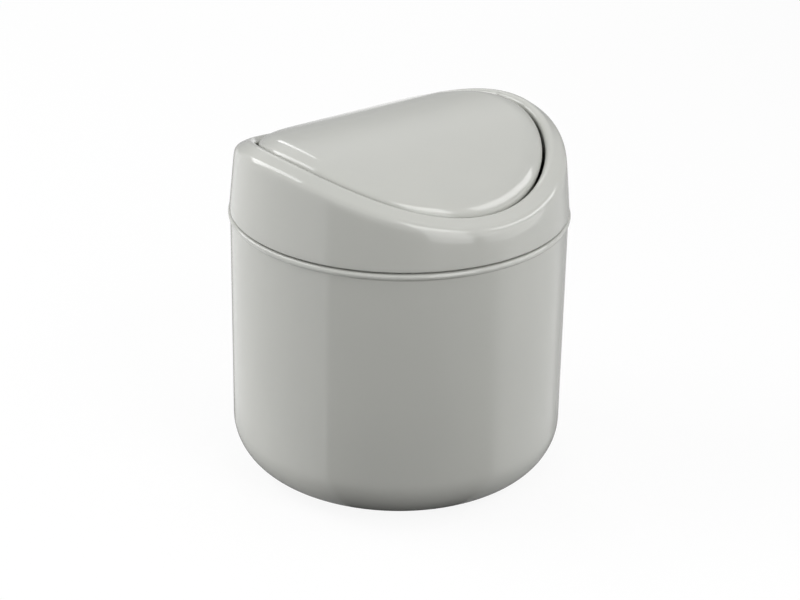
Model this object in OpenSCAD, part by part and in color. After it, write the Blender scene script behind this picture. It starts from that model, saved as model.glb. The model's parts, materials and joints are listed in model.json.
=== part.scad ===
// Countertop trash can: a round bin body, a wave-topped lid frame and a two-way swing flap.
// Units are millimetres. The origin is the centre of the base, on the surface it stands on.
// +X runs along the hinge line, between the wave's two high points. -Y is the front, +Z is up.

/* [Overall] */
// Diameter across the lid's lower edge, at the seam
lid_diameter = 140; // [120:1:180]
// Height of the seam between the body and the lid
seam_height = 114; // [90:1:180]
// Height of the frame's two high points above the seam
ridge_rise = 34.75; // [28:0.25:42]
// Height of the frame's two low points above the seam
valley_rise = 16.5; // [13:0.5:20]
// How much of a wave the top follows, as an angle: small is near a parabola
wave_angle = 42; // [20:1:80]

/* [Body] */
// Wall and floor of the body
body_wall = 2.2; // [1.6:0.1:3]
// Radius of the rounded bottom corner
corner_radius = 20.5; // [12:0.5:32]
// How far the body's wall lies inside the lid's lower edge
body_inset = 0.35; // [0.2:0.05:1.2]
// Draft: how much narrower the body's radius is at the bottom corner
body_draft = 0.3; // [0.1:0.1:2.5]
// Thickness of the rolled bead under the seam
bead_thickness = 2.6; // [2:0.1:3.4]
// How far the bead stands out of the body's wall
bead_stand_out = 0.9; // [0.6:0.05:1.2]
// Open seam between the bead and the lid's lower edge
seam_gap = 0.8; // [0.4:0.1:1.2]
// Height of the body's rim above the seam, inside the lid
rim_rise = 4; // [3:0.5:5]
// Wall of the rim
rim_wall = 2.2; // [1.6:0.1:2.6]
// Play between the rim and the inside of the lid's skirt
rim_clearance = 0.5; // [0.2:0.1:1]
// Width of the ring that the body stands on
foot_width = 6; // [4:0.5:10]
// Depth of the hollow inside that ring
foot_depth = 0.8; // [0.4:0.1:1.4]

/* [Lid frame] */
// Wall of the lid frame
lid_wall = 1.8; // [1.4:0.1:2.2]
// Width of the frame in plan, from its opening to its lower edge
band_width = 11; // [10.5:0.1:14]
// Flare of the skirt towards the seam, in degrees
skirt_flare = 5.25; // [2:0.25:6]
// Rounding of the outer shoulder
shoulder_radius = 5; // [3.5:0.25:5.5]
// How far the top falls from the opening's edge to the shoulder
band_fall = 1.2; // [0:0.1:1.5]
// Rounding of the edge round the opening
lip_radius = 2.5; // [2.25:0.05:3]
// Depth of the lip that hangs round the opening
lip_depth = 7; // [5.5:0.5:8]
// Chamfer of the lid's lower edge
edge_break = 0.4; // [0.2:0.1:0.6]
// Number of ribs that rest on the body's rim
rib_count = 12; // [8:4:16]
// Thickness of a rib
rib_thickness = 1.4; // [1:0.1:2]
// How far a rib reaches in past the rim, and stays above the lip's lower edge
rib_margin = 1; // [0.5:0.25:1.5]

/* [Swing flap] */
// Wall of the flap
flap_wall = 1.8; // [1.4:0.1:2.2]
// Gap between the flap and the opening, all the way round
flap_gap = 1.2; // [0.8:0.1:2]
// Height of the flap's crown above the frame's top
crown_rise = 1.5; // [1:0.25:4]
// Width of the flap's pillowed edge
pillow_width = 8.5; // [7:0.5:11]
// Depth at which the pillowed edge turns into the flap's side
edge_depth = 2.5; // [2:0.25:3]
// Depth of the flap's side below the frame's top
flap_side = 8; // [7:0.5:9]
// Inward taper of the flap's side, so that it swings clear of the opening
side_taper = 1.2; // [0.8:0.1:2]

/* [Hinge] */
// Depth of the hinge line below the frame's high points
hinge_depth = 5; // [4.6:0.1:5.5]
// Diameter of a hinge pin
pin_diameter = 3; // [2.5:0.1:3.4]
// Diameter of a hinge pin's head
pin_head_diameter = 5.6; // [4.6:0.1:6]
// Thickness of a hinge pin's head
pin_head_thickness = 1.2; // [0.8:0.1:1.6]
// Running clearance of the flap on a pin, on the radius
pin_clearance = 0.08; // [0.05:0.01:0.1]
// Plastic round a pin
boss_wall = 1.4; // [1.2:0.1:1.6]
// Length of the flap's boss on a pin
flap_boss_length = 6; // [5:0.5:7]
// How far the boss ends inside the flap's edge
boss_set_back = 0.1; // [0.1:0.1:0.3]
// Thickness, along the pin, of the web that hangs the boss from the flap
boss_web = 2.6; // [2:0.2:4]
// End play between the flap's boss and the frame's, at each end
end_play = 0.4; // [0.2:0.1:0.6]
// Depth of a pin in the frame's blind bearing
bearing_depth = 4.2; // [4:0.2:5]
// Plastic past the end of the blind bearing
bearing_cap = 1; // [0.8:0.1:1.2]
// Half the width of a bearing plate, as an angle round the opening
plate_half_angle = 9; // [7:1:14]
// How far the bearing plate lies behind the opening's wall
plate_set_back = 0.3; // [0.2:0.1:0.6]
// Swing at which the flap meets its stop pegs, in degrees
stop_swing = 66; // [62:0.5:68]
// Diameter of the stop peg
stop_diameter = 3.6; // [3:0.2:4.4]

/* [Counterweight] */
// Diameter of the counterweight bar
bar_diameter = 8; // [6:0.5:9]
// Length of the counterweight bar
bar_length = 60; // [48:1:72]
// Depth of the bar's centre below the hinge line
bar_drop = 9; // [8:0.5:11]
// Chamfer of the bar's ends
bar_chamfer = 0.6; // [0.3:0.1:1]
// Distance between the two clips, centre to centre
clip_spacing = 40; // [30:1:44]
// Thickness of a clip along the bar
clip_thickness = 5; // [4:0.5:7]
// Plastic round the bar in a clip
clip_wall = 1.6; // [1.2:0.1:2.2]
// Clearance of the bar in its clips, on the radius
clip_play = 0.05; // [0.02:0.01:0.15]
// How far a clip reaches round below the bar's centre
clip_grip = 2.2; // [1.6:0.2:2.6]
// Thickness of the web that hangs a clip from the flap
clip_web = 3; // [2:0.5:4]

/* [Hidden] */

$fn = 96;
steps = 96;
bite = 0.6;
over = 1;
plastic = [0.76, 0.76, 0.73];
steel = [0.6, 0.62, 0.65];

lid_radius = lid_diameter / 2;
opening_radius = lid_radius - band_width;
flap_radius = opening_radius - flap_gap;
ridge_height = seam_height + ridge_rise;
rim_height = seam_height + rim_rise;
hinge_height = ridge_height - hinge_depth;

body_top_radius = lid_radius - body_inset;
body_bottom_radius = body_top_radius - body_draft;
base_radius = body_bottom_radius - corner_radius;
bead_top = seam_height - seam_gap;
bead_bottom = bead_top - bead_thickness;
bead_centre = body_top_radius + bead_stand_out - bead_thickness / 2;
rim_radius = skirt_radius(rim_height) - lid_wall - rim_clearance;

pin_radius = pin_diameter / 2;
flap_boss_outer = flap_radius - boss_set_back;
flap_boss_inner = flap_boss_outer - flap_boss_length;
flap_boss_radius = pin_radius + pin_clearance + boss_wall;
bearing_face = flap_boss_outer + end_play;
bearing_boss_radius = pin_radius + boss_wall;
pin_end = opening_radius + bearing_depth;
bearing_end = pin_end + bearing_cap;
bar_height = hinge_height - bar_drop;
bar_radius = bar_diameter / 2;
flap_under = ridge_height + crown_rise - flap_wall;

// The wave: height of the top at a distance s, in plan, from the hinge line.
function wave(s) =
    ridge_height - (ridge_rise - valley_rise)
    * (1 - cos(wave_angle * s / opening_radius)) / (1 - cos(wave_angle));

// Height of the frame's top at a plan angle: the wave, level across the frame's width.
function crest(angle) = wave(opening_radius * abs(sin(angle)));

// Depth of a stop peg below the hinge line: there the lower edge of the flap's side, a distance s from
// the hinge line at rest, comes against the peg at the stop swing. Each try improves the last.
function peg_drop(drop, tries) =
    let (s = drop * sin(stop_swing),
         edge_drop = hinge_height + flap_side - wave(s))
    tries == 0 ? drop : peg_drop((edge_drop + stop_diameter / 2) / cos(stop_swing), tries - 1);

stop_drop = peg_drop(2 * flap_side, 16);
stop_radius = flap_radius - side_taper - flap_wall / 2;
stop_inner = sqrt(pow(stop_radius, 2) - pow(stop_drop * sin(stop_swing), 2));

// Outer radius of the flared skirt at a height.
function skirt_radius(z) = lid_radius - (z - seam_height) * tan(skirt_flare);

function arc(centre, radius, from, to, count) =
    [for (i = [0:count])
        let (t = from + (to - from) * i / count)
        centre + radius * [cos(t), sin(t)]];

function reversed(list) = [for (i = [len(list) - 1:-1:0]) list[i]];

// Slope of the straight line that touches the shoulder's and the edge's roundings, from the step
// between their centres.
function band_slope(step) =
    asin((lip_radius - shoulder_radius) / norm(step)) - atan2(step[1], step[0]);

// Line of the frame's section at a plan angle, a distance inset behind its outer skin:
// over the shoulder, across the top and round the edge of the opening.
function frame_line(angle, inset, count) =
    let (top = crest(angle),
         shoulder_height = top - band_fall - shoulder_radius,
         shoulder = [skirt_radius(shoulder_height) - shoulder_radius, shoulder_height],
         edge = [opening_radius + lip_radius, top - lip_radius],
         meet = 90 - band_slope(shoulder - edge))
    concat(
        arc(shoulder, shoulder_radius - inset, skirt_flare, meet, count),
        arc(edge, lip_radius - inset, meet, 180, count));

// Closed section of the frame: skirt, shoulder, top and lip, with an even wall.
function frame_section(angle) =
    let (lip_bottom = crest(angle) - lip_depth)
    concat(
        [[lid_radius - edge_break, seam_height], [lid_radius, seam_height + edge_break]],
        frame_line(angle, 0, 8),
        [[opening_radius, lip_bottom], [opening_radius + lid_wall, lip_bottom]],
        reversed(frame_line(angle, lid_wall, 4)),
        [[lid_radius - lid_wall, seam_height]]);

// Line of the flap's section, a distance inset behind its skin, as [radius, height over the wave].
function flap_line(inset, count) =
    let (flat_radius = flap_radius - pillow_width)
    concat(
        [for (i = [1:6]) [flat_radius * i / 7, crown_rise - inset]],
        [for (i = [0:count])
            let (t = 90 * i / count)
            [flat_radius + (pillow_width - inset) * sin(t),
             (crown_rise + edge_depth - inset) * cos(t) - edge_depth]],
        [[flap_radius - inset - side_taper, -flap_side]]);

// Points of a section carried round the Z axis, one copy for each step.
function at(angle, p) = [p[0] * cos(angle), p[0] * sin(angle), p[1]];
function over_wave(angle, p) = [p[0], wave(abs(p[0] * sin(angle))) + p[1]];

// Triangles between neighbouring copies of a section with count points.
function swept_faces(count, closed) =
    [for (k = [0:steps - 1], i = [0:count - (closed ? 1 : 2)])
        let (next = (k + 1) % steps,
             j = (i + 1) % count,
             a = k * count + i,
             b = k * count + j,
             c = next * count + j,
             d = next * count + i)
        each [[a, b, c], [a, c, d]]];

module frame_shell() {
    points = [for (k = [0:steps - 1], p = frame_section(360 * k / steps)) at(360 * k / steps, p)];
    polyhedron(points, swept_faces(len(frame_section(0)), true));
}

module flap_shell() {
    section = concat(flap_line(flap_wall, 4), reversed(flap_line(0, 8)));
    count = len(section);
    points = [for (k = [0:steps - 1], p = section) at(360 * k / steps, over_wave(360 * k / steps, p))];
    crown = [0, 0, ridge_height + crown_rise];
    top = steps * count;
    under = top + 1;
    polyhedron(
        concat(points, [crown, crown - [0, 0, flap_wall]]),
        concat(
            swept_faces(count, false),
            [for (k = [0:steps - 1])
                let (here = k * count, next = ((k + 1) % steps) * count)
                each [[top, next + count - 1, here + count - 1], [under, here, next]]]));
}

// Radial rib of the frame. Its foot rests on the body's rim, its top follows the shell.
module seat_rib(angle) {
    depth = lid_wall - bite;
    foot = skirt_radius(rim_height) - depth;
    outline = concat(
        [[foot, rim_height]],
        frame_line(angle, depth, 3),
        [[opening_radius + depth, crest(angle) - lip_depth + rib_margin],
         [rim_radius - rim_wall - rib_margin, rim_height]]);
    rotate([0, 0, angle])
        rotate([90, 0, 0])
        linear_extrude(rib_thickness, center = true)
        polygon(outline);
}

// Bearing plate under a high point: boss with a blind bore, and the peg that stops the flap.
module bearing_plate() {
    plate_bottom = hinge_height - stop_drop - stop_diameter;
    rotate([0, 0, -plate_half_angle])
        rotate_extrude(angle = 2 * plate_half_angle)
        translate([opening_radius + plate_set_back, plate_bottom])
        square([lid_wall, ridge_height - lid_wall + bite - plate_bottom]);
    translate([bearing_face, 0, hinge_height])
        rotate([0, 90, 0])
        cylinder(h = bearing_end - bearing_face, r = bearing_boss_radius);
    translate([stop_inner, 0, hinge_height - stop_drop])
        rotate([0, 90, 0])
        cylinder(h = opening_radius + lid_wall - stop_inner, d = stop_diameter);
}

module bearing_bore() {
    translate([bearing_face - over, 0, hinge_height])
        rotate([0, 90, 0])
        cylinder(h = pin_end - bearing_face + over, r = pin_radius);
}

// Boss of the flap on a pin, with the web that carries it.
module flap_boss() {
    translate([flap_boss_inner, 0, hinge_height])
        rotate([0, 90, 0])
        cylinder(h = flap_boss_length, r = flap_boss_radius);
    translate([flap_boss_inner, -clip_web / 2, hinge_height])
        cube([boss_web, clip_web, flap_under + bite - hinge_height]);
}

module flap_bore() {
    translate([flap_boss_inner - over, 0, hinge_height])
        rotate([0, 90, 0])
        cylinder(h = flap_boss_length + 2 * over, r = pin_radius + pin_clearance);
}

// Clip that snaps over the counterweight bar from above.
module clip(x) {
    translate([x - clip_thickness / 2, 0, 0])
        rotate([90, 0, 90])
        linear_extrude(clip_thickness)
        difference() {
            union() {
                translate([0, bar_height])
                    circle(r = bar_radius + clip_wall);
                translate([-clip_web / 2, bar_height + bar_radius])
                    square([clip_web, flap_under + bite - bar_height - bar_radius]);
            }
            translate([0, bar_height])
                circle(r = bar_radius + clip_play);
            translate([-bar_diameter, bar_height - clip_grip - bar_diameter])
                square([2 * bar_diameter, bar_diameter]);
        }
}

module hinge_pin() {
    head_face = flap_boss_inner - end_play / 2;
    translate([head_face, 0, hinge_height])
        rotate([0, 90, 0])
        cylinder(h = pin_end - head_face, r = pin_radius);
    translate([head_face - pin_head_thickness, 0, hinge_height])
        rotate([0, 90, 0])
        cylinder(h = pin_head_thickness, d = pin_head_diameter);
}

module bin_outline() {
    square([base_radius, bead_top]);
    translate([base_radius, corner_radius])
        circle(r = corner_radius);
    polygon([
        [0, corner_radius],
        [body_bottom_radius, corner_radius],
        [body_top_radius, bead_bottom + bead_thickness / 2],
        [bead_centre, bead_top],
        [0, bead_top]]);
    translate([bead_centre, bead_top - bead_thickness / 2])
        circle(d = bead_thickness);
    translate([0, bead_bottom])
        square([rim_radius, rim_height - bead_bottom]);
}

module bin_hollow() {
    throat = rim_radius - rim_wall;
    foot_radius = base_radius - foot_width;
    translate([0, body_wall + foot_depth])
        square([base_radius, rim_height]);
    translate([foot_radius + body_wall, body_wall])
        square([foot_width - body_wall, rim_height]);
    square([foot_radius, foot_depth]);
    translate([base_radius, corner_radius])
        circle(r = corner_radius - body_wall);
    polygon([
        [0, corner_radius],
        [body_bottom_radius - body_wall, corner_radius],
        [body_top_radius - body_wall, bead_bottom - body_wall],
        [throat, bead_bottom + over],
        [throat, rim_height + over],
        [0, rim_height + over]]);
}

module bin_body() {
    color(plastic)
        rotate_extrude()
        difference() {
            bin_outline();
            bin_hollow();
        }
}

module lid_frame() {
    color(plastic)
        difference() {
            union() {
                frame_shell();
                for (i = [0:rib_count - 1])
                    seat_rib(360 * (i + 0.5) / rib_count);
                bearing_plate();
                mirror([1, 0, 0])
                    bearing_plate();
            }
            bearing_bore();
            mirror([1, 0, 0])
                bearing_bore();
        }
}

module swing_flap() {
    color(plastic)
        difference() {
            union() {
                flap_shell();
                flap_boss();
                mirror([1, 0, 0])
                    flap_boss();
                clip(clip_spacing / 2);
                clip(-clip_spacing / 2);
            }
            flap_bore();
            mirror([1, 0, 0])
                flap_bore();
        }
}

module hinge_pin_right() {
    color(steel)
        hinge_pin();
}

module hinge_pin_left() {
    color(steel)
        mirror([1, 0, 0])
        hinge_pin();
}

module counterweight_bar() {
    color(steel)
        translate([-bar_length / 2, 0, bar_height])
        rotate([0, 90, 0])
        rotate_extrude()
        polygon([
            [0, 0],
            [bar_radius - bar_chamfer, 0],
            [bar_radius, bar_chamfer],
            [bar_radius, bar_length - bar_chamfer],
            [bar_radius - bar_chamfer, bar_length],
            [0, bar_length]]);
}

bin_body();
lid_frame();
swing_flap();
hinge_pin_left();
hinge_pin_right();
counterweight_bar();
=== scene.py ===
# %% [markdown]
# # A countertop trash can with a swing lid
#
# The real thing is a small round can in glossy, warm light-grey plastic. It has three large mouldings: a cup
# with a rounded bottom corner, a ring-shaped lid frame whose top edge runs as a wave, and a round flap that
# swings both ways inside the ring. Two steel pins and a steel weight are hidden under the flap.
#
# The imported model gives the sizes, the bodies and the joints. Each moulding is modelled again here with far
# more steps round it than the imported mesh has, because gloss shows every facet. All lengths are in metres,
# and each finished piece keeps its object at the origin.

# %% Load the frame
import json
import math

import bpy
import numpy as np
from mathutils import Matrix, Quaternion, Vector


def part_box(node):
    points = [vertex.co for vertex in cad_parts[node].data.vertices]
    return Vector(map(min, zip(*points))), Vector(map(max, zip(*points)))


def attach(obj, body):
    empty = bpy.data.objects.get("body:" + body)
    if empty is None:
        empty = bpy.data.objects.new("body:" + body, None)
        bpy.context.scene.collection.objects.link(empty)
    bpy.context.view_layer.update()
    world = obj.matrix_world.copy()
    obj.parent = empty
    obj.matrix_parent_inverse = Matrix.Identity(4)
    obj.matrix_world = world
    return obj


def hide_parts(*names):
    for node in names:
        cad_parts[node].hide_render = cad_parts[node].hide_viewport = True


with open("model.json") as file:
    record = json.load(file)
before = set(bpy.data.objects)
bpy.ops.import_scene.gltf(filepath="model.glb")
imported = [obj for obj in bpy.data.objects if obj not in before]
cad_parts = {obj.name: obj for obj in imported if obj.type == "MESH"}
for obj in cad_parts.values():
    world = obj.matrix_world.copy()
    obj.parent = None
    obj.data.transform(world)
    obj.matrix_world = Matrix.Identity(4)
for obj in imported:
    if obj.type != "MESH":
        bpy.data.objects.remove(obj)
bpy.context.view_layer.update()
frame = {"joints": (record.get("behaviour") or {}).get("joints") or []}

# %% [markdown]
# ## Sizes
#
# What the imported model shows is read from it: the lid's radius, the height of the seam, the two high points,
# the flap's radius, the pins and the weight. The roundings and walls can't be read from a box, so they are
# named here in millimetres, as a drawing would give them.

# %% Sizes
MM = 0.001
lid_low, lid_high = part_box("lid_frame")
flap_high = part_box("swing_flap")[1]
pin_low, pin_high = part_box("hinge_pin_right")
bar_low, bar_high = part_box("counterweight_bar")

lid_radius = lid_high.x
seam_height = lid_low.z
hinge_height = [joint["pos_m"][2] for joint in frame["joints"] if joint["name"] == "flap_swing"][0]
hinge_depth = 5 * MM
ridge_height = hinge_height + hinge_depth
rim_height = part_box("bin_body")[1].z
flap_radius = flap_high.x
crown_rise = flap_high.z - ridge_height
pin_end = pin_high.x
bar_height = (bar_low.z + bar_high.z) / 2
bar_radius = (bar_high.z - bar_low.z) / 2

body_wall = 2.2 * MM
body_inset = 0.35 * MM
body_draft = 0.3 * MM
corner_radius = 20.5 * MM
foot_width = 6 * MM
foot_depth = 0.8 * MM
bead_thickness = 2.6 * MM
bead_stand_out = 0.9 * MM
seam_gap = 0.8 * MM
rim_wall = 2.2 * MM
rim_clearance = 0.5 * MM

ridge_rise = ridge_height - seam_height
valley_rise = 16.5 * MM
wave_angle = math.radians(42)
lid_wall = 1.8 * MM
band_width = 11 * MM
band_fall = 1.2 * MM
shoulder_radius = 5 * MM
lip_radius = 2.5 * MM
lip_depth = 7 * MM
skirt_flare = math.radians(5.25)
edge_break = 0.4 * MM
opening_radius = lid_radius - band_width
print("seam %.2f, ridge %.2f, hinge line %.2f mm" % (seam_height / MM, ridge_height / MM, hinge_height / MM))

# %% [markdown]
# ## The wave
#
# The lid's top follows a wave: high where it meets the hinge line at the left and right, low at the front and
# back. The wave is a short piece of a cosine, measured by the distance from the hinge line. The frame's top
# reads it where the wall of its opening stands, so it stays level across its width. The flap reads it
# everywhere, so it is a vault.

# %% The wave
def wave(distance):
    drop = (1 - np.cos(wave_angle * distance / opening_radius)) / (1 - math.cos(wave_angle))
    return ridge_height - (ridge_rise - valley_rise) * drop


def crest(turn):
    return wave(opening_radius * abs(math.sin(turn)))


def skirt_radius(height):
    return lid_radius - (height - seam_height) * math.tan(skirt_flare)


print("low points of the wave at %.2f mm" % (crest(math.pi / 2) / MM))

# %% [markdown]
# ## Tools for drawing and turning
#
# Every moulding here starts as a line drawn in the plane through the Z axis, as a section. One vertex is
# extruded from point to point, which is what drawing with the E key does. The line is then spun round the
# axis. An operator acts on everything that is selected, so each tool starts by deselecting all.

# %% Draw a line and spin it
merge_distance = 0.002 * MM
smooth_angle = math.radians(35)


def start_piece(name):
    bpy.ops.object.select_all(action="DESELECT")
    bpy.ops.mesh.primitive_plane_add(size=MM, location=(0, 0, 0))
    piece = bpy.context.object
    piece.name = piece.data.name = name
    bpy.ops.object.mode_set(mode="EDIT")
    bpy.ops.mesh.select_all(action="SELECT")
    bpy.ops.mesh.merge(type="CENTER")
    return piece


def draw(points):
    bpy.ops.transform.translate(value=points[0])
    for here, there in zip(points, points[1:]):
        step = [b - a for a, b in zip(here, there)]
        bpy.ops.mesh.extrude_region_move(TRANSFORM_OT_translate={"value": step})


def close_up(piece):
    """Merges the vertices where a mesh meets itself, turns all its faces outwards and ends editing."""
    bpy.ops.mesh.select_all(action="SELECT")
    bpy.ops.mesh.remove_doubles(threshold=merge_distance)
    bpy.ops.mesh.normals_make_consistent(inside=False)
    bpy.ops.object.mode_set(mode="OBJECT")
    return piece


def turned(name, line, steps, closed=True, centre=(0, 0, 0), axis=(0, 0, 1)):
    """A line of points in 3D, spun all the way round an axis."""
    piece = start_piece(name)
    draw(list(line) + ([line[0]] if closed else []))
    bpy.ops.mesh.select_all(action="SELECT")
    bpy.ops.mesh.spin(steps=steps, angle=2 * math.pi, center=centre, axis=axis)
    return close_up(piece)


def select_only(pieces):
    bpy.ops.object.select_all(action="DESELECT")
    for piece in pieces:
        piece.select_set(True)
    bpy.context.view_layer.objects.active = pieces[0]


def smooth(piece):
    select_only([piece])
    bpy.ops.object.shade_smooth_by_angle(angle=smooth_angle)


def report(piece):
    print("%s: %d faces" % (piece.name, len(piece.data.polygons)))
    return piece


# %% [markdown]
# Three helpers give the points of a section, as pairs of radius and height. The first is an arc. The second
# takes the corners of an outline, each with a rounding, and puts an arc in each, because no corner of a
# moulding is really sharp: the small rounding catches a line of light, which is how the eye reads an edge.
# The third gives the steps of a straight line. A fourth stands a section up in 3D, at an angle round Z.

# %% Arcs, rounded corners and straight lines
def arc(centre, radius, start, end, count):
    turns = [start + (end - start) * i / count for i in range(count + 1)]
    return [(centre[0] + radius * math.cos(t), centre[1] + radius * math.sin(t)) for t in turns]


def rounded(corners, count=5):
    """Points of a closed outline, from its corners as (radius, height, rounding)."""
    points = []
    for i, (r, z, rounding) in enumerate(corners):
        here = Vector((r, z))
        if rounding == 0:
            points.append((r, z))
            continue
        back = (Vector(corners[i - 1][:2]) - here).normalized()
        on = (Vector(corners[(i + 1) % len(corners)][:2]) - here).normalized()
        half = math.acos(max(-1, min(1, back.dot(on)))) / 2
        centre = here + (back + on).normalized() * rounding / math.sin(half)
        first = here + back * rounding / math.tan(half) - centre
        last = here + on * rounding / math.tan(half) - centre
        start = math.atan2(first.y, first.x)
        sweep = math.atan2(last.y, last.x) - start
        sweep -= 2 * math.pi * round(sweep / (2 * math.pi))
        points += arc(centre, rounding, start, start + sweep, count)
    return points


def ladder(low, high, count):
    """The points between two others on a straight line, without its ends."""
    return [tuple(a + (b - a) * i / count for a, b in zip(low, high)) for i in range(1, count)]


def upright(points, turn=0.0, side=0.0):
    """Section points as places in 3D, in the plane at an angle round Z, moved sideways out of it."""
    c, s = math.cos(turn), math.sin(turn)
    return [(r * c - side * s, r * s + side * c, z) for r, z in points]


# %% [markdown]
# The next four work on the vertices that a spin has left: they read them, move them, tell which point of the
# section each came from, and mark those on the inner side of a wall.

# %% Vertices of a spun piece
def vertices_of(piece):
    """The places of a piece's vertices, one to a row."""
    places = np.empty(3 * len(piece.data.vertices))
    piece.data.vertices.foreach_get("co", places)
    return places.reshape(-1, 3)


def move_vertices(piece, places):
    piece.data.vertices.foreach_set("co", places.ravel())
    piece.data.update()


def nearest_point(piece, section):
    """For each vertex of a spun piece, the number of the section point it came from."""
    places = vertices_of(piece)
    line = np.array(section)
    across = np.hypot(places[:, 0], places[:, 1])[:, None] - line[:, 0]
    return np.hypot(across, places[:, 2][:, None] - line[:, 1]).argmin(1)


def mark_inside(piece, marks):
    """Writes 1 on the vertices of the inner side of a wall and 0 on the others, for the finish to read."""
    attribute = piece.data.attributes.new("inside", "FLOAT", "POINT")
    values = np.broadcast_to(marks, len(piece.data.vertices)).astype(np.float32)
    attribute.data.foreach_set("value", values)


# %% [markdown]
# ## The bin body
#
# The body is a cup moulded in one shot: an almost straight wall, a large rounded bottom corner, a shallow
# hollow inside a foot ring so that it stands steady, and a rolled bead that hides the step up to the rim. A
# spin suits it, because every cut through its axis is the same. The bead runs into the wall with a small
# fillet, which gives the soft shadow line under it.

# %% Section of the bin body
steps_round = 288
bead_fillet = 0.8 * MM
rim_rounding = 0.6 * MM
neck_rounding = 1.5 * MM
neck_rise = 1 * MM
hollow_rounding = 0.4 * MM
foot_edge = 0.35 * MM
step_rounding = 0.3 * MM
body_top_radius = lid_radius - body_inset
body_bottom_radius = body_top_radius - body_draft
base_radius = body_bottom_radius - corner_radius
foot_radius = base_radius - foot_width
bead_radius = bead_thickness / 2
bead_top = seam_height - seam_gap
bead_centre = (body_top_radius + bead_stand_out - bead_radius, bead_top - bead_radius)
rim_radius = skirt_radius(rim_height) - lid_wall - rim_clearance
throat_radius = rim_radius - rim_wall


def bead_line():
    """From the wall through the fillet below the bead and round to the bead's top."""
    out = body_top_radius + bead_fillet
    down = math.sqrt((bead_radius + bead_fillet) ** 2 - (out - bead_centre[0]) ** 2)
    hollow = (out, bead_centre[1] - down)
    meet = math.atan2(-down, out - bead_centre[0])
    fillet = arc(hollow, bead_fillet, math.pi, meet + math.pi, count=8)
    return fillet + arc(bead_centre, bead_radius, meet, math.pi / 2, count=20)[1:]


def body_section():
    """Half of the body, from the middle of its underside round the outside to the middle of its floor."""
    corner = (base_radius, corner_radius)
    bead = bead_line()
    outer = rounded([(0, foot_depth, 0), (foot_radius, foot_depth, hollow_rounding),
                     (foot_radius, 0, foot_edge), (base_radius, 0, 0)], count=4)
    outer += arc(corner, corner_radius, -math.pi / 2, 0, count=40)[1:]
    outer += ladder(outer[-1], bead[0], count=12) + bead
    rim = [(rim_radius, bead_top, 0), (rim_radius, rim_height, rim_rounding),
           (throat_radius, rim_height, rim_rounding),
           (throat_radius, bead_top - bead_thickness + neck_rise, neck_rounding),
           (body_top_radius - body_wall, bead_top - bead_thickness - body_wall, neck_rounding),
           (body_bottom_radius - body_wall, corner_radius, 0)]
    inner = rounded([bead[-1] + (0,)] + rim)[1:]
    inner += arc(corner, corner_radius - body_wall, 0, -math.pi / 2, count=28)[1:]
    step_radius = foot_radius + body_wall
    floor = [(base_radius, body_wall, 0), (step_radius, body_wall, step_rounding),
             (step_radius, body_wall + foot_depth, hollow_rounding), (0, body_wall + foot_depth, 0)]
    return outer + inner + rounded(floor, count=4)[1:]


# %% Spin the bin body
bin_moulding = turned("bin_moulding", upright(body_section()), steps_round, closed=False)
first_inside = body_section().index(bead_line()[-1]) + 1
mark_inside(bin_moulding, nearest_point(bin_moulding, body_section()) >= first_inside)
smooth(report(bin_moulding))
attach(bin_moulding, "bin")
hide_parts("bin_body")

# %% [markdown]
# ## The lid frame
#
# The frame is a ring whose section changes as it goes round: the skirt's foot stays level at the seam, while
# its shoulder, top and lip ride up and down the wave. A plain spin can't do that. So the section at one high
# point is spun into a ring with the right number of columns, and then every column is moved onto its own
# section. A straight line joins the shoulder's rounding to the rounding of the lip and touches both, and its
# slope is worked out from the step between their centres.

# %% Section of the lid frame
ease_reach = 2.5 * MM
ease_share = 0.4
frame_steps = 24
frame_inner_steps = 8


def band_slope(step):
    """How steeply the line that touches both roundings falls, from the step between their centres."""
    return math.asin((lip_radius - shoulder_radius) / math.hypot(*step)) - math.atan2(step[1], step[0])


def eased(over):
    """Starts the arc over the shoulder lower down the skirt, with a bend that tightens as it rises."""
    last = round(ease_share * (len(over) - 1))
    up = Vector((-math.sin(skirt_flare), math.cos(skirt_flare)))
    start, end = Vector(over[0]), Vector(over[last])
    chord = end - start
    corner = start + up * chord.length_squared / (2 * chord.dot(up))
    foot = start - up * ease_reach
    shares = [i / last for i in range(last)]
    bend = [foot * (1 - s) ** 2 + corner * 2 * s * (1 - s) + end * s ** 2 for s in shares]
    return [tuple(point) for point in bend] + over[last:]


def frame_line(turn, inset, count):
    """Over the shoulder, across the top and down to the opening's wall, at an angle round Z."""
    top = crest(turn)
    shoulder_height = top - band_fall - shoulder_radius
    shoulder = (skirt_radius(shoulder_height) - shoulder_radius, shoulder_height)
    edge = (opening_radius + lip_radius, top - lip_radius)
    meet = math.pi / 2 - band_slope((shoulder[0] - edge[0], shoulder[1] - edge[1]))
    over = eased(arc(shoulder, shoulder_radius - inset, skirt_flare, meet, count))
    down = arc(edge, lip_radius - inset, meet, math.pi, count)
    return over + ladder(over[-1], down[0], count=3) + down


def frame_section(turn):
    """Round the ring's section: foot, outside, top and lip, then back up and down inside the wall."""
    lip_bottom = crest(turn) - lip_depth
    line = frame_line(turn, 0, frame_steps)
    foot_centre = (lid_radius - edge_break, seam_height + edge_break)
    foot = [(lid_radius - edge_break, seam_height)]
    foot += arc(foot_centre, edge_break, -math.pi / 2, 0, count=4)[1:]
    lip_centre = (opening_radius + edge_break, lip_bottom + edge_break)
    lip = arc(lip_centre, edge_break, math.pi, math.pi * 1.5, count=4)
    inside = frame_line(turn, lid_wall, frame_inner_steps)[::-1]
    return (foot + ladder(foot[-1], line[0], count=10) + line + ladder(line[-1], lip[0], count=5) + lip
            + [(opening_radius + lid_wall, lip_bottom)] + inside + [(lid_radius - lid_wall, seam_height)])


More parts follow.
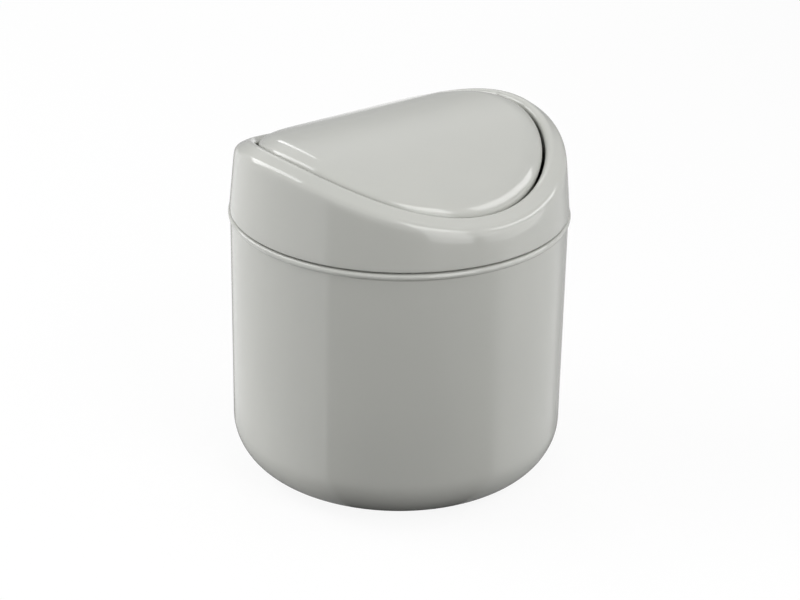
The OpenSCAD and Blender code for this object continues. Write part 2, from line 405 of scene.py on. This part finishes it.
# %% Spin the ring and lay it on its sections
def lay_on_sections(ring, section_at, steps):
    """Moves each column of a spun ring onto the section for its own angle."""
    places = vertices_of(ring)
    sections = np.array([section_at(2 * math.pi * k / steps) for k in range(steps)])
    column = np.rint(np.arctan2(places[:, 1], places[:, 0]) / (2 * math.pi) * steps).astype(int) % steps
    point = nearest_point(ring, section_at(0.0))
    radius, height = sections[column, point].T
    turn = 2 * math.pi * column / steps
    move_vertices(ring, np.stack([radius * np.cos(turn), radius * np.sin(turn), height], 1))


ring_section = frame_section(0.0)
lid_ring = turned("lid_ring", upright(ring_section), steps_round)
first_inside = len(ring_section) - len(frame_line(0.0, lid_wall, frame_inner_steps)) - 2
mark_inside(lid_ring, nearest_point(lid_ring, ring_section) >= first_inside)
lay_on_sections(lid_ring, frame_section, steps_round)
report(lid_ring)

# %% [markdown]
# Under the ring, twelve ribs rest on the body's rim and carry the lid. Each is a flat plate whose top follows
# the inside of the ring, so its outline is drawn from the same section and then given its thickness by an
# extrude. The ribs sit a little way into the wall, as they do where the plastic has run together.

# %% Ribs that rest on the rim
rib_count = 12
rib_thickness = 1.4 * MM
rib_margin = 1 * MM
rib_edge = 0.2 * MM
moulded_edge = 0.25 * MM
bite = 0.6 * MM


def plate(name, outline, thickness):
    """A closed outline of points in 3D, filled and extruded by a thickness given as a vector."""
    piece = start_piece(name)
    draw(list(outline) + [outline[0]])
    bpy.ops.mesh.select_all(action="SELECT")
    bpy.ops.mesh.remove_doubles(threshold=merge_distance)
    bpy.ops.mesh.select_all(action="SELECT")
    bpy.ops.mesh.edge_face_add()
    bpy.ops.mesh.extrude_region_move(TRANSFORM_OT_translate={"value": thickness})
    return close_up(piece)


def soften(piece, width):
    """Rounds the hard edges of a piece with a bevel, and applies it."""
    bevel = piece.modifiers.new("soft edges", "BEVEL")
    bevel.width = width
    bevel.segments = 2
    bevel.limit_method = "ANGLE"
    bevel.angle_limit = math.radians(40)
    select_only([piece])
    bpy.ops.object.modifier_apply(modifier=bevel.name)
    return piece


def joined(name, pieces):
    select_only(pieces)
    bpy.ops.object.join()
    pieces[0].name = pieces[0].data.name = name
    return pieces[0]


def rib(number):
    turn = 2 * math.pi * (number + 0.5) / rib_count
    depth = lid_wall - bite
    lip_bottom = crest(turn) - lip_depth
    outline = [(skirt_radius(rim_height) - depth, rim_height)] + frame_line(turn, depth, count=6)
    outline += [(opening_radius + depth, lip_bottom + rib_margin), (throat_radius - rib_margin, rim_height)]
    across = (-math.sin(turn) * rib_thickness, math.cos(turn) * rib_thickness, 0)
    return soften(plate("rib", upright(outline, turn, -rib_thickness / 2), across), rib_edge)


lid_ribs = report(joined("lid_ribs", [rib(number) for number in range(rib_count)]))

# %% [markdown]
# Below each high point a curved plate carries a boss with a blind hole for the hinge pin, and a peg that
# stops the flap. The peg's place is worked out from the swing: it is where the lower edge of the flap's side
# comes when the flap has turned as far as it may. The wave's height there depends on the peg's own place, so
# the sum is repeated until it settles. Boss and peg are turned on the hinge's own direction.

# %% Bearings and stop pegs
pin_radius = 1.5 * MM
boss_wall = 1.4 * MM
bearing_cap = 1 * MM
plate_half_turn = math.radians(9)
plate_set_back = 0.3 * MM
stop_swing = math.radians(66)
stop_radius = 1.8 * MM
flap_wall = 1.8 * MM
flap_side = 8 * MM
side_taper = 1.2 * MM
end_play = 0.4 * MM
boss_set_back = 0.1 * MM
blind_play = 0.02 * MM
bore_rounding = 0.15 * MM
boss_edge = 0.2 * MM
peg_edge = 0.4 * MM
settling_rounds = 16
flap_boss_outer = flap_radius - boss_set_back
bearing_face = flap_boss_outer + end_play
bearing_end = pin_end + bearing_cap

stop_drop = 2 * flap_side
for _ in range(settling_rounds):
    edge_drop = hinge_height + flap_side - wave(stop_drop * math.sin(stop_swing))
    stop_drop = (edge_drop + stop_radius) / math.cos(stop_swing)
stop_out = stop_drop * math.sin(stop_swing)
stop_inner = math.sqrt((flap_radius - side_taper - flap_wall / 2) ** 2 - stop_out ** 2)
print("stop pegs %.2f mm below the hinge line" % (stop_drop / MM))


# %% Turn the bearings
def on_hinge(points, side, height=hinge_height):
    """Section points (x, distance from a line along X) as places in 3D, on the right (1) or left (-1)."""
    return [(side * x, 0, height + out) for x, out in points]


def turned_on_x(name, points, side, height=hinge_height, closed=False, steps=64):
    return turned(name, on_hinge(points, side, height), steps, closed, (0, 0, height), (1, 0, 0))


def curved_plate(side):
    low = hinge_height - stop_drop - 2 * stop_radius
    high = ridge_height - lid_wall + bite
    inner = opening_radius + plate_set_back
    outer = inner + lid_wall
    middle = 0 if side > 0 else math.pi
    inside = arc((0, 0), inner, middle - plate_half_turn, middle + plate_half_turn, count=12)
    outside = arc((0, 0), outer, middle + plate_half_turn, middle - plate_half_turn, count=12)
    outline = [(x, y, low) for x, y in inside + outside]
    return soften(plate("curved_plate", outline, (0, 0, high - low)), moulded_edge)


def bearing(side):
    boss_radius = pin_radius + boss_wall
    blind_radius = pin_radius + blind_play
    blind_end = pin_end + blind_play
    boss = rounded([(blind_end, 0, 0), (blind_end, blind_radius, 0),
                    (bearing_face, blind_radius, bore_rounding), (bearing_face, boss_radius, moulded_edge),
                    (bearing_end, boss_radius, boss_edge), (bearing_end, 0, 0)], count=3)
    stop_end = opening_radius + lid_wall
    peg = rounded([(stop_inner, 0, 0), (stop_inner, stop_radius, peg_edge), (stop_end, stop_radius, 0),
                   (stop_end, 0, 0)], count=4)
    name = "bearing_right" if side > 0 else "bearing_left"
    return report(joined(name, [curved_plate(side), turned_on_x("boss", boss, side),
                                turned_on_x("peg", peg, side, hinge_height - stop_drop)]))


bearing_right = bearing(1)
bearing_left = bearing(-1)

for piece in (lid_ribs, bearing_right, bearing_left):
    mark_inside(piece, 1)
for piece in (lid_ring, lid_ribs, bearing_right, bearing_left):
    smooth(piece)
    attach(piece, "lid")
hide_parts("lid_frame")

# %% [markdown]
# ## The swing flap
#
# The flap is a thin vault with a pillowed edge: flat across the middle of its section, then rolling down in a
# quarter of an ellipse to a short side, which tapers in so that it clears the opening as it swings. Its
# section is drawn as a height above the wave, spun, and then every vertex is lifted onto the wave.

# %% The flap's shell
pillow_width = 8.5 * MM
edge_depth = 2.5 * MM
flat_radius = flap_radius - pillow_width
foot_rounding = 0.5 * MM


def flap_line(inset, rings, count):
    """Across the flat and over the pillowed edge, as heights above the wave."""
    flat = [(flat_radius * i / rings, crown_rise - inset) for i in range(rings)]
    roll = []
    for i in range(count + 1):
        t = math.pi / 2 * i / count
        roll.append((flat_radius + (pillow_width - inset) * math.sin(t),
                     (crown_rise + edge_depth - inset) * math.cos(t) - edge_depth))
    return flat + roll


flap_outside = flap_line(0, rings=26, count=30)
flap_inside = flap_line(flap_wall, rings=14, count=12)[::-1]


def flap_section():
    side_end = flap_radius - side_taper
    foot = rounded([flap_outside[-1] + (0,), (side_end, -flap_side, foot_rounding),
                    (side_end - flap_wall, -flap_side, foot_rounding), flap_inside[0] + (0,)], count=4)[1:-1]
    side = ladder(flap_outside[-1], foot[0], count=5)
    return flap_outside + side + foot + ladder(foot[-1], flap_inside[0], count=3) + flap_inside


# %% Spin the flap and lift it onto the wave
def lift_onto_wave(piece):
    places = vertices_of(piece)
    places[:, 2] += wave(np.abs(places[:, 1]))
    move_vertices(piece, places)


flap_shell = turned("flap_shell", upright(flap_section()), steps_round, closed=False)
first_inside = len(flap_section()) - len(flap_inside)
mark_inside(flap_shell, nearest_point(flap_shell, flap_section()) >= first_inside)
lift_onto_wave(flap_shell)
report(flap_shell)

# %% [markdown]
# Under the flap hang two bosses that turn on the pins and two clips that hold the steel weight. A clip is a
# hook shape, open below, so that the bar snaps in. It is drawn as one outline round the bar and extruded
# along it, and its tips and edges are softened.

# %% Bosses and clips under the flap
pin_clearance = 0.08 * MM
flap_boss_length = 6 * MM
flap_boss_inner = flap_boss_outer - flap_boss_length
flap_boss_inner_edge = 0.3 * MM
flap_boss_radius = pin_radius + pin_clearance + boss_wall
boss_web = 2.6 * MM
flap_under = ridge_height + crown_rise - flap_wall
clip_spacing = 40 * MM
clip_thickness = 5 * MM
clip_wall = 1.6 * MM
clip_grip = 2.2 * MM
clip_web = 3 * MM
clip_play = 0.05 * MM


def flap_boss(side):
    bore = pin_radius + pin_clearance
    tube = rounded([(flap_boss_inner, bore, bore_rounding),
                    (flap_boss_inner, flap_boss_radius, flap_boss_inner_edge),
                    (flap_boss_outer, flap_boss_radius, boss_edge),
                    (flap_boss_outer, bore, bore_rounding)], count=3)
    boss = turned_on_x("boss", tube, side, closed=True)
    low = hinge_height + flap_boss_radius - bite
    near, far = side * flap_boss_inner, side * (flap_boss_inner + boss_web)
    outline = [(near, -clip_web / 2, low), (far, -clip_web / 2, low), (far, clip_web / 2, low),
               (near, clip_web / 2, low)]
    web = soften(plate("web", outline, (0, 0, flap_under + bite - low)), moulded_edge)
    name = "flap_boss_right" if side > 0 else "flap_boss_left"
    return report(joined(name, [boss, web]))


def clip(side):
    """A hook round the bar: down its right side from the web, back through the hollow, and up its left."""
    outer = bar_radius + clip_wall
    inner = bar_radius + clip_play
    neck = math.asin(clip_web / 2 / outer)
    tip_out = -math.asin(clip_grip / outer)
    tip_in = -math.asin(clip_grip / inner)
    centre = (0, bar_height)
    right = arc(centre, outer, math.pi / 2 - neck, tip_out, count=16)
    hollow = arc(centre, inner, tip_in, math.pi - tip_in, count=40)
    left = arc(centre, outer, math.pi - tip_out, math.pi / 2 + neck, count=16)
    top = flap_under + bite
    hook = [(clip_web / 2, top)] + right + hollow + left + [(-clip_web / 2, top)]
    start = side * clip_spacing / 2 - clip_thickness / 2
    name = "clip_right" if side > 0 else "clip_left"
    piece = plate(name, [(start, y, z) for y, z in hook], (clip_thickness, 0, 0))
    return report(soften(piece, moulded_edge))


# %% Hang them under the flap
under_flap = [flap_boss(1), flap_boss(-1), clip(1), clip(-1)]
for piece in under_flap:
    mark_inside(piece, 1)
for piece in [flap_shell] + under_flap:
    smooth(piece)
    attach(piece, "flap")
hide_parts("swing_flap")

# %% [markdown]
# ## Pins and weight
#
# The pins are turned from steel, with a flat head inside and a small rounding at the end that goes into the
# frame. The weight is a piece of drawn bar with its ends chamfered. Both are drawn as half a section and spun
# about the hinge's direction, the pin once on each side.

# %% Turn the pins and the bar
pin_start = pin_low.x
pin_head_radius = 2.8 * MM
pin_head_thickness = 1.2 * MM
pin_head_edge = 0.3 * MM
pin_head_back_edge = 0.12 * MM
pin_tip_rounding = 0.35 * MM
bar_chamfer = 0.6 * MM
bar_edge = 0.15 * MM


def hinge_pin(side):
    neck = pin_start + pin_head_thickness
    line = rounded([(pin_start, 0, 0), (pin_start, pin_head_radius, pin_head_edge),
                    (neck, pin_head_radius, pin_head_back_edge), (neck, pin_radius, 0),
                    (pin_end, pin_radius, pin_tip_rounding), (pin_end, 0, 0)], count=4)
    name = "pin_right" if side > 0 else "pin_left"
    pin = report(turned_on_x(name, line, side))
    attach(pin, "lid")
    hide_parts("hinge_" + name)
    return pin


def weight_bar():
    half = bar_high.x
    end_radius = bar_radius - bar_chamfer
    line = rounded([(-half, 0, 0), (-half, end_radius, bar_edge), (bar_chamfer - half, bar_radius, bar_edge),
                    (half - bar_chamfer, bar_radius, bar_edge), (half, end_radius, bar_edge),
                    (half, 0, 0)], count=3)
    bar = report(turned_on_x("weight_bar", line, 1, bar_height, steps=96))
    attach(bar, "flap")
    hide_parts("counterweight_bar")
    return bar


pins = [hinge_pin(1), hinge_pin(-1)]
bar = weight_bar()
for piece, slot in ((pins[0], "pin_steel"), (pins[1], "pin_steel"), (bar, "bar_steel")):
    smooth(piece)

# %% [markdown]
# ## Finishes
#
# A finish is a sum of small things: a colour that varies a little, a gloss with faint smears in it, and a
# surface that is never quite flat. Writing that with nodes alone is long, so one small class wraps a node's
# output. Python's signs on it add the Math nodes, and one method adds any other node.

# %% Shader maths
class Socket:
    """One output of a node. Arithmetic on it adds the Math nodes that are needed."""

    def __init__(self, tree, out):
        self.tree = tree
        self.out = out

    def add(self, kind, settings=None, sockets=None, out=0):
        """Adds a node of a type, with its settings first and then the values or links of its sockets."""
        node = self.tree.nodes.new(kind)
        for name, value in (settings or {}).items():
            if name == "stops":
                for stop, (place, colour) in zip(node.color_ramp.elements, value):
                    stop.position, stop.color = place, colour
            else:
                setattr(node, name, value)
        for name, value in (sockets or {}).items():
            if isinstance(value, Socket):
                self.tree.links.new(value.out, node.inputs[name])
            else:
                node.inputs[name].default_value = value
        return Socket(self.tree, node.outputs[out]) if len(node.outputs) else None

    def maths(self, operation, first, second):
        return self.add("ShaderNodeMath", {"operation": operation}, {0: first, 1: second})

    def __add__(self, other):
        return self.maths("ADD", self, other)

    def __sub__(self, other):
        return self.maths("SUBTRACT", self, other)

    def __rsub__(self, other):
        return self.maths("SUBTRACT", other, self)

    def __mul__(self, other):
        return self.maths("MULTIPLY", self, other)

    __radd__ = __add__
    __rmul__ = __mul__


# %% Helpers for a finish
def start_finish(name):
    """A new material without nodes, and the Object coordinates that every pattern in it reads."""
    material = bpy.data.materials.new(name)
    material.use_nodes = True
    material.node_tree.nodes.clear()
    coordinates = material.node_tree.nodes.new("ShaderNodeTexCoord")
    return material, Socket(material.node_tree, coordinates.outputs["Object"])


def noise(place, wavelength, detail=2.0, roughness=0.5, stretch=(1, 1, 1)):
    """Soft noise from 0 to 1 about 0.5, with bumps of a given wavelength in metres along each direction."""
    scaled = place.add("ShaderNodeMapping", {}, {"Vector": place, "Scale": [s / wavelength for s in stretch]})
    return place.add("ShaderNodeTexNoise", {}, {"Vector": scaled, "Scale": 1.0, "Detail": detail,
                                                "Roughness": roughness})


def smooth_step(value, low, high):
    return value.add("ShaderNodeMapRange", {"interpolation_type": "SMOOTHSTEP"},
                     {"Value": value, "From Min": low, "From Max": high})


def blend_colour(factor, first, second):
    """Mixes two colours; a Mix node's colour sockets are its sixth and seventh."""
    return factor.add("ShaderNodeMix", {"data_type": "RGBA"}, {0: factor, 6: first, 7: second}, out=2)


def surface(place, colour, roughness, height, settings):
    """Closes a finish: a Principled shader whose height, in metres, goes through a Bump node."""
    normal = place.add("ShaderNodeBump", {}, {"Strength": 1.0, "Distance": 1.0, "Height": height})
    sockets = {"Base Color": colour, "Roughness": roughness, "Normal": normal}
    shader = place.add("ShaderNodeBsdfPrincipled", {}, {**sockets, **settings})
    place.add("ShaderNodeOutputMaterial", {}, {"Surface": shader})


# %% [markdown]
# The three mouldings share one plastic: an opaque, warm light grey with a polished mould's gloss. The outside
# mirrors its surroundings softly. Close up it has a faint orange-peel skin, under a micron high, and a longer
# unevenness where the wall cooled. Fingers leave slightly duller patches. The inner sides come from a mould
# that was only stoned, so there the `inside` mark makes the plastic duller and finer in grain. The foot ring
# is rubbed where it stands.
#
# Gloss is given as a roughness: 0 is a mirror and 1 is chalk. The colours are linear, as the shader takes
# them.

# %% Moulded plastic
light_grey = (0.515, 0.519, 0.487, 1)
cloud_grey = (0.503, 0.508, 0.478, 1)
rubbed_grey = (0.42, 0.42, 0.40, 1)
rubbed_share = 0.5
clean_gloss = 0.09
smear_dulling = 0.05
inner_dulling = 0.26
rub_dulling = 0.25
rub_grain_dulling = 0.3
peel_height = 0.0008 * MM
sag_height = 0.012 * MM
grain_height = 0.006 * MM
rub_height = 0.02 * MM

shell_plastic, place = start_finish("shell_plastic")
inside = place.add("ShaderNodeAttribute", {"attribute_name": "inside"}, {}, out="Fac")
height = place.add("ShaderNodeSeparateXYZ", {}, {"Vector": place}, out="Z")
clouds = noise(place, wavelength=45 * MM)
smears = noise(place, wavelength=16 * MM, detail=5.0, roughness=0.6)
grain = noise(place, wavelength=0.45 * MM, detail=3.0)
peel = noise(place, wavelength=2.2 * MM, detail=1.0)
sag = noise(place, wavelength=38 * MM, detail=1.0)
rubbed = 1 - smooth_step(height, 0.1 * MM, 0.5 * MM)
plastic_colour = blend_colour(smooth_step(clouds, 0.3, 0.7), light_grey, cloud_grey)
plastic_colour = blend_colour(rubbed * rubbed_share, plastic_colour, rubbed_grey)
gloss = clean_gloss + smooth_step(smears, 0.45, 0.75) * smear_dulling + inside * inner_dulling
gloss = gloss + rubbed * (rub_dulling + rub_grain_dulling * grain)
skin = peel * peel_height + sag * sag_height + inside * grain * grain_height + rubbed * grain * rub_height
surface(place, plastic_colour, gloss, skin, {"IOR": 1.5})


def finish(pieces, material):
    for piece in pieces:
        piece.data.materials.clear()
        piece.data.materials.append(material)
    print(material.name, "on", len(pieces), "pieces")


lid_mouldings = [lid_ring, lid_ribs, bearing_right, bearing_left]
finish([bin_moulding, flap_shell] + lid_mouldings + under_flap, shell_plastic)

# %% [markdown]
# Both steels are bare metal. Turning leaves rings round a pin, so its pattern changes quickly along X and not
# round it. Drawing a bar through a die leaves long streaks, so its pattern is stretched the other way.

# %% Turned and drawn steel
steel_gloss = 0.22
line_dulling = 0.16
stain_dulling = 0.1


def steel(name, colour, tint, stretch, wavelength, depth):
    """Bare metal with fine lines of a given depth, and a tint where lines and stain come together."""
    material, place = start_finish(name)
    lines = noise(place, wavelength, detail=4.0, roughness=0.65, stretch=stretch)
    stain = noise(place, wavelength=5 * MM, detail=3.0)
    shade = blend_colour(smooth_step(lines + stain * 0.6, 0.5, 1.0), colour, tint)
    polish = steel_gloss + lines * line_dulling + smooth_step(stain, 0.5, 0.8) * stain_dulling
    surface(place, shade, polish, lines * depth, {"Metallic": 1.0})
    return material


pin_steel = steel("pin_steel", colour=(0.62, 0.63, 0.65, 1), tint=(0.50, 0.51, 0.53, 1),
                  stretch=(1, 0.02, 0.02), wavelength=0.12 * MM, depth=0.004 * MM)
bar_steel = steel("bar_steel", colour=(0.55, 0.56, 0.58, 1), tint=(0.43, 0.43, 0.45, 1),
                  stretch=(0.01, 1, 1), wavelength=0.3 * MM, depth=0.006 * MM)
finish(pins, pin_steel)
finish([bar], bar_steel)

# %% [markdown]
# ## Camera
#
# A long lens from a metre away, 24 degrees above the can, so that the walls stay nearly parallel. The view's
# directions are worked out as on a tripod: the column is turned, the head tilted, and the camera rolled by
# less than a degree. Then it is pointed so that the aim falls on its own pixel, a little off the middle.

# %% Camera
camera_turn = math.radians(-38.2996)
camera_rise = math.radians(24.3423)
camera_roll = math.radians(0.9649)
camera_distance = 1.0
aim = Vector((0, 0, 0.075))
lens_pixels = 2386.9
aim_pixel = (398.06, 290.57)
image_size = (800, 600)


def towards_camera(turn, rise):
    return Vector((math.sin(turn) * math.cos(rise), -math.cos(turn) * math.cos(rise), math.sin(rise)))


back = towards_camera(camera_turn, camera_rise)
right = Vector((math.cos(camera_turn), math.sin(camera_turn), 0))
up = right.cross(-back)
right, up = (right * math.cos(camera_roll) + up * math.sin(camera_roll),
             up * math.cos(camera_roll) - right * math.sin(camera_roll))
off_x = (aim_pixel[0] - image_size[0] / 2) / lens_pixels
off_y = (image_size[1] / 2 - aim_pixel[1]) / lens_pixels
ahead = (-back - right * off_x - up * off_y).normalized()
right = (right - ahead * right.dot(ahead)).normalized()
up = right.cross(ahead)
bpy.ops.object.camera_add(location=aim + back * camera_distance)
camera = bpy.context.object
camera.name = "camera"
rows = [(right[i], up[i], -ahead[i], camera.location[i]) for i in range(3)] + [(0, 0, 0, 1)]
camera.matrix_world = Matrix(rows)
camera.data.sensor_width = 36
camera.data.lens = lens_pixels * camera.data.sensor_width / image_size[0]
bpy.context.scene.camera = camera
print("camera at", [round(v, 3) for v in camera.location], "lens %.1f mm" % camera.data.lens)

# %% [markdown]
# ## Floor, surroundings and lights
#
# The can stands in a white studio. The floor and the world show as white to the camera and in reflections,
# and the floor keeps a soft shadow, because part of it is an ordinary matt white that the lamps light.

# %% White floor and surroundings
white = (1, 1, 1, 1)
matt_white = (0.92, 0.92, 0.92, 1)
glowing_share = 0.9


def seen(tree):
    """1 on the rays that look at a thing and 0 on those that only gather light."""
    paths = tree.nodes.new("ShaderNodeLightPath")
    camera_ray, glossy_ray, clear_ray = [Socket(tree, paths.outputs[name]) for name in
                                         ("Is Camera Ray", "Is Glossy Ray", "Is Transmission Ray")]
    return camera_ray + glossy_ray + clear_ray


def white_floor():
    bpy.ops.object.select_all(action="DESELECT")
    bpy.ops.mesh.primitive_plane_add(size=8, location=(0, 0, 0))
    floor = bpy.context.object
    floor.name = "floor"
    material, place = start_finish("white_floor")
    matt = place.add("ShaderNodeBsdfDiffuse", {}, {"Color": matt_white})
    glow = place.add("ShaderNodeEmission", {}, {"Color": white, "Strength": 1.0})
    mixed = place.add("ShaderNodeMixShader", {}, {0: seen(place.tree) * glowing_share, 1: matt, 2: glow})
    place.add("ShaderNodeOutputMaterial", {}, {"Surface": mixed})
    floor.data.materials.append(material)


def white_world(level):
    """White where it is looked at, and a dimmer white by its level where it lights."""
    world = bpy.data.worlds.new("studio")
    world.use_nodes = True
    world.node_tree.nodes.clear()
    looked_at = seen(world.node_tree)
    strength = looked_at * (1 - level) + level
    light = looked_at.add("ShaderNodeBackground", {}, {"Color": white, "Strength": strength})
    looked_at.add("ShaderNodeOutputWorld", {}, {"Surface": light})
    bpy.context.scene.world = world


white_floor()
white_world(level=0.15)
print("white floor and white world")

# %% [markdown]
# Five softboxes light it. Their places were found from the photograph's highlights: a highlight's place on
# the lid gives the direction its light came from. One low lamp on the right shows only in the gloss, and four
# more only fill and don't show in it.

# %% Softboxes
def from_camera(turn, rise=0.0):
    """A direction given by angles from the camera's side: to the right, and up."""
    return towards_camera(camera_turn + math.radians(turn), math.radians(rise))


lit_point = Vector((0, 0, 0.12))


def softbox(name, turn, rise, distance, width, height, power, roll=0.0):
    """A lamp of power watts that faces the lid. A roll above 0 lifts the side towards larger turns."""
    direction = from_camera(turn, rise)
    bpy.ops.object.light_add(type="AREA", location=lit_point + direction * distance)
    lamp = bpy.context.object
    lamp.name = lamp.data.name = name
    facing = direction.to_track_quat("Z", "Y") @ Quaternion((0, 0, 1), math.radians(roll))
    lamp.rotation_euler = facing.to_euler()
    lamp.data.shape = "RECTANGLE"
    lamp.data.size = width
    lamp.data.size_y = height
    lamp.data.energy = power
    lamp.visible_camera = False
    return lamp


softbox("front_right_softbox", turn=42, rise=44, distance=0.9, width=0.47, height=0.25, power=1.76)
softbox("low_right_softbox", turn=33, rise=11, distance=0.62, width=0.33, height=0.5, power=1.35)
softbox("right_softbox", turn=98, rise=34, distance=0.9, width=0.59, height=0.21, power=1.6, roll=-20)
right_gloss = softbox("right_gloss", turn=77, rise=2, distance=0.45, width=0.39, height=0.23, power=0.36)
right_gloss.visible_diffuse = False
softbox("left_softbox", turn=-106, rise=36, distance=0.9, width=0.95, height=0.32, power=4.4, roll=50)
softbox("back_softbox", turn=-167, rise=32, distance=0.9, width=0.06, height=0.62, power=0.32, roll=8)
for name, turn, rise, power in (("left_fill", -75, 25, 2.4), ("front_fill", -20, 20, 1.4),
                                ("back_fill", 180, 20, 1.8), ("top_fill", 90, 80, 1.6)):
    fill = softbox(name, turn, rise, distance=1.0, width=0.6, height=0.6, power=power)
    fill.visible_glossy = False
lamps = [thing.name for thing in bpy.context.scene.objects if thing.type == "LIGHT"]
print(len(lamps), "lamps:", ", ".join(lamps))

# %% [markdown]
# The wall of the can is a mirror for the floor in front of it, and shows a darker band there, as when the
# floor ends in the dark on the camera's side. A dark card on the floor gives that band, with soft edges, and
# keeps the white floor from lighting the can from below. Round the can's foot the card carries a painted
# contact shadow, seen in the gloss of the lower wall. A grey card behind is seen only in the gloss, most of
# all in the flap's far side.

# %% Cards
contact_shadow_cover = 0.85
right_cover = 0.5
left_cover = 0.6


def past_edge(place, wall_turn, soft):
    """0 to 1 across a soft edge that starts at the wall and runs where a reflection there points."""
    start = from_camera(wall_turn) * body_top_radius
    along = from_camera(2 * wall_turn)
    across = from_camera(2 * wall_turn + 90)
    out = place.add("ShaderNodeVectorMath", {"operation": "SUBTRACT"}, {0: place, 1: start})
    ahead = place.add("ShaderNodeVectorMath", {"operation": "DOT_PRODUCT"}, {0: out, 1: along}, out="Value")
    aside = place.add("ShaderNodeVectorMath", {"operation": "DOT_PRODUCT"}, {0: out, 1: across}, out="Value")
    return smooth_step(place.maths("ARCTAN2", aside, ahead), -math.radians(soft), math.radians(soft))


def finish_card(piece, place, material, shade, cover):
    """Makes a card glow faintly where its cover is 1 and clear where it is 0. It throws no shadow."""
    glow = place.add("ShaderNodeEmission", {}, {"Color": (shade, shade, shade, 1), "Strength": 1.0})
    clear = place.add("ShaderNodeBsdfTransparent")
    mixed = place.add("ShaderNodeMixShader", {}, {0: cover, 1: clear, 2: glow})
    place.add("ShaderNodeOutputMaterial", {}, {"Surface": mixed})
    piece.data.materials.append(material)
    piece.visible_camera = piece.visible_shadow = piece.visible_transmission = False
    print(piece.name, "stands in the reflections")


def dark_card(shade, radius=2.5, lift=0.3 * MM):
    """A floor card: dark in front of the can, in two thin bands at its sides, and as a painted shadow round
    it.
    """
    bpy.ops.object.select_all(action="DESELECT")
    bpy.ops.mesh.primitive_circle_add(vertices=64, radius=radius, fill_type="NGON", location=(0, 0, lift))
    piece = bpy.context.object
    piece.name = "dark_card"
    material, place = start_finish("dark_card")
    place = place.add("ShaderNodeVectorMath", {"operation": "MULTIPLY"}, {0: place, 1: (1, 1, 0)})
    from_axis = place.add("ShaderNodeVectorMath", {"operation": "LENGTH"}, {0: place}, out="Value")
    # Painted contact shadow: a dark ring on the card round the can's foot, seen in the lower wall's gloss and
    # cutting its bounce light.
    contact_shadow = 1 - smooth_step(from_axis, low=0.05, high=0.11)
    front = past_edge(place, wall_turn=-24, soft=3.5) * (1 - past_edge(place, wall_turn=36, soft=11))
    right = past_edge(place, wall_turn=72, soft=8) * (1 - past_edge(place, wall_turn=90, soft=5))
    left = past_edge(place, wall_turn=-90, soft=5) * (1 - past_edge(place, wall_turn=-80, soft=5))
    at_sides = (1 - right_cover * right) * (1 - left_cover * left)
    band = 1 - (1 - front) * (1 - contact_shadow_cover * contact_shadow) * at_sides
    above = 1 - place.add("ShaderNodeNewGeometry", {}, {}, out="Backfacing")
    finish_card(piece, place, material, shade, band * above)


def grey_card(shade, distance=1.2, width=2.4, height=1.1):
    """A card stood behind the can, clear towards its top and its sides."""
    bpy.ops.object.select_all(action="DESELECT")
    middle = from_camera(180) * distance + Vector((0, 0, height / 2))
    bpy.ops.mesh.primitive_plane_add(size=1, location=middle, rotation=(math.pi / 2, 0, camera_turn))
    piece = bpy.context.object
    piece.name = "grey_card"
    piece.scale = (width, height, 1)
    material, place = start_finish("grey_card")
    across = place.add("ShaderNodeSeparateXYZ", {}, {"Vector": place}, out="X")
    upwards = place.add("ShaderNodeSeparateXYZ", {}, {"Vector": place}, out="Y")
    aside = place.maths("ABSOLUTE", across, 0.0)
    cover = (1 - smooth_step(upwards, low=-0.2, high=0.4)) * (1 - smooth_step(aside, low=0.25, high=0.5))
    finish_card(piece, place, material, shade, cover)
    piece.visible_diffuse = False


dark_card(shade=0.05)
grey_card(shade=0.4)

# %% [markdown]
#
# The render shows the colours as they are, under the Standard view.

# %% Colour view
bpy.context.scene.view_settings.view_transform = "Standard"
